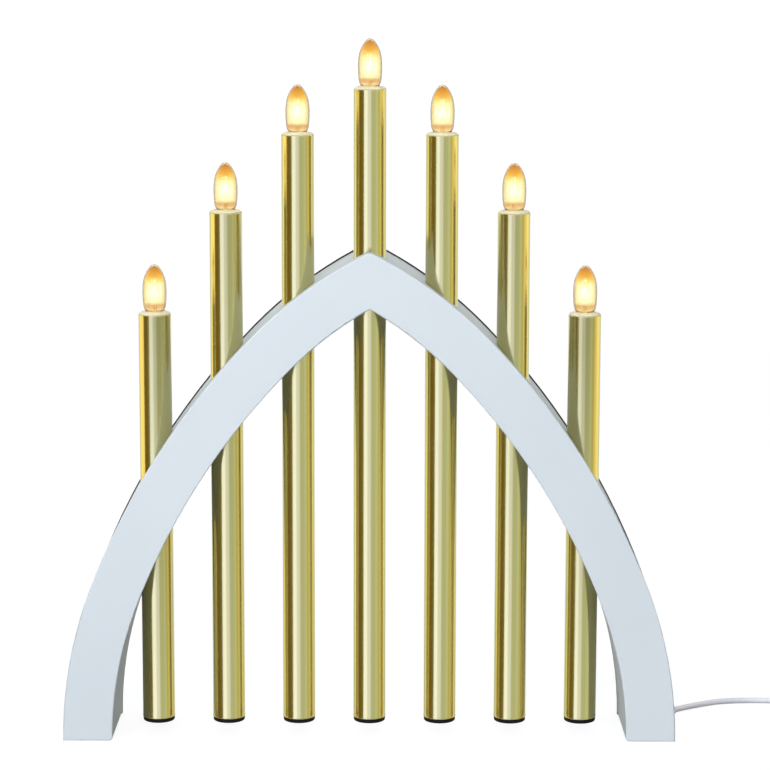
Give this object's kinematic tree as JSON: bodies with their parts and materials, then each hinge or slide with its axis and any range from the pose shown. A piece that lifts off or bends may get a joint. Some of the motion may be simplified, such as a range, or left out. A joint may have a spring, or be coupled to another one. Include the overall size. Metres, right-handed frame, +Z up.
{
  "type": "electric candle arch",
  "caption": "White pointed candle arch with brass coloured tubes, screw-in candle bulbs and a white mains lead.",
  "frame": {"origin": "bottom centre of the arch's bounding box, on the surface it stands on, measured without the lead and the plug", "axes": "+X to the viewer's right along the width, +Y from the front face to the back, +Z up"},
  "size_m": [0.5088, 0.1129, 0.3982],
  "materials": {
    "arch_paint": "cool white satin paint on wooden board",
    "dark_hardboard": "dark pressed hardboard, smooth side out",
    "tube_brass": "brass coloured foil or lacquer, satin to bright",
    "black_plastic": "moulded, slightly satin",
    "holder_plastic": "cream moulded plastic",
    "contact_brass": "bare stamped metal",
    "clear_glass": "clear, thin blown glass",
    "lamp_cap_metal": "nickelled thin metal",
    "filament": "lit wire on a glass stem",
    "screw_steel": "zinc plated",
    "wire_insulation": "thin white insulation",
    "cord_white": "white flexible plastic, satin",
    "pin_metal": "nickelled brass"
  },
  "bodies": {
    "arch": {"arch_front_board": "arch_paint", "arch_middle_board": "arch_paint", "arch_rear_board": "arch_paint", "back_cover": "dark_hardboard", "cover_screws": "screw_steel", "socket_shells": "contact_brass", "wiring": "wire_insulation", "cord_bush": "cord_white", "cord_clamp": "cord_white", "clamp_screws": "screw_steel", "cord_lead": "cord_white", "cord_coil": "cord_white", "cord_tail": "cord_white", "plug_body": "cord_white", "plug_pins": "pin_metal", "tube_1": "tube_brass", "tube_cap_1": "black_plastic", "lamp_holder_1": "holder_plastic", "tube_2": "tube_brass", "tube_cap_2": "black_plastic", "lamp_holder_2": "holder_plastic", "tube_3": "tube_brass", "tube_cap_3": "black_plastic", "lamp_holder_3": "holder_plastic", "tube_4": "tube_brass", "tube_cap_4": "black_plastic", "lamp_holder_4": "holder_plastic", "tube_5": "tube_brass", "tube_cap_5": "black_plastic", "lamp_holder_5": "holder_plastic", "tube_6": "tube_brass", "tube_cap_6": "black_plastic", "lamp_holder_6": "holder_plastic", "tube_7": "tube_brass", "tube_cap_7": "black_plastic", "lamp_holder_7": "holder_plastic"},
    "bulb_1": {"bulb_glass_1": "clear_glass", "bulb_base_1": "lamp_cap_metal", "bulb_filament_1": "filament"},
    "bulb_2": {"bulb_glass_2": "clear_glass", "bulb_base_2": "lamp_cap_metal", "bulb_filament_2": "filament"},
    "bulb_3": {"bulb_glass_3": "clear_glass", "bulb_base_3": "lamp_cap_metal", "bulb_filament_3": "filament"},
    "bulb_4": {"bulb_glass_4": "clear_glass", "bulb_base_4": "lamp_cap_metal", "bulb_filament_4": "filament"},
    "bulb_5": {"bulb_glass_5": "clear_glass", "bulb_base_5": "lamp_cap_metal", "bulb_filament_5": "filament"},
    "bulb_6": {"bulb_glass_6": "clear_glass", "bulb_base_6": "lamp_cap_metal", "bulb_filament_6": "filament"},
    "bulb_7": {"bulb_glass_7": "clear_glass", "bulb_base_7": "lamp_cap_metal", "bulb_filament_7": "filament"}
  },
  "joints": [
    {"name": "bulb_1_lift", "type": "slide", "parent": "arch", "child": "bulb_1", "axis": [0, 0, 1], "range_m": [0, 0.016]},
    {"name": "bulb_2_lift", "type": "slide", "parent": "arch", "child": "bulb_2", "axis": [0, 0, 1], "range_m": [0, 0.016]},
    {"name": "bulb_3_lift", "type": "slide", "parent": "arch", "child": "bulb_3", "axis": [0, 0, 1], "range_m": [0, 0.016]},
    {"name": "bulb_4_lift", "type": "slide", "parent": "arch", "child": "bulb_4", "axis": [0, 0, 1], "range_m": [0, 0.016]},
    {"name": "bulb_5_lift", "type": "slide", "parent": "arch", "child": "bulb_5", "axis": [0, 0, 1], "range_m": [0, 0.016]},
    {"name": "bulb_6_lift", "type": "slide", "parent": "arch", "child": "bulb_6", "axis": [0, 0, 1], "range_m": [0, 0.016]},
    {"name": "bulb_7_lift", "type": "slide", "parent": "arch", "child": "bulb_7", "axis": [0, 0, 1], "range_m": [0, 0.016]}
  ]
}
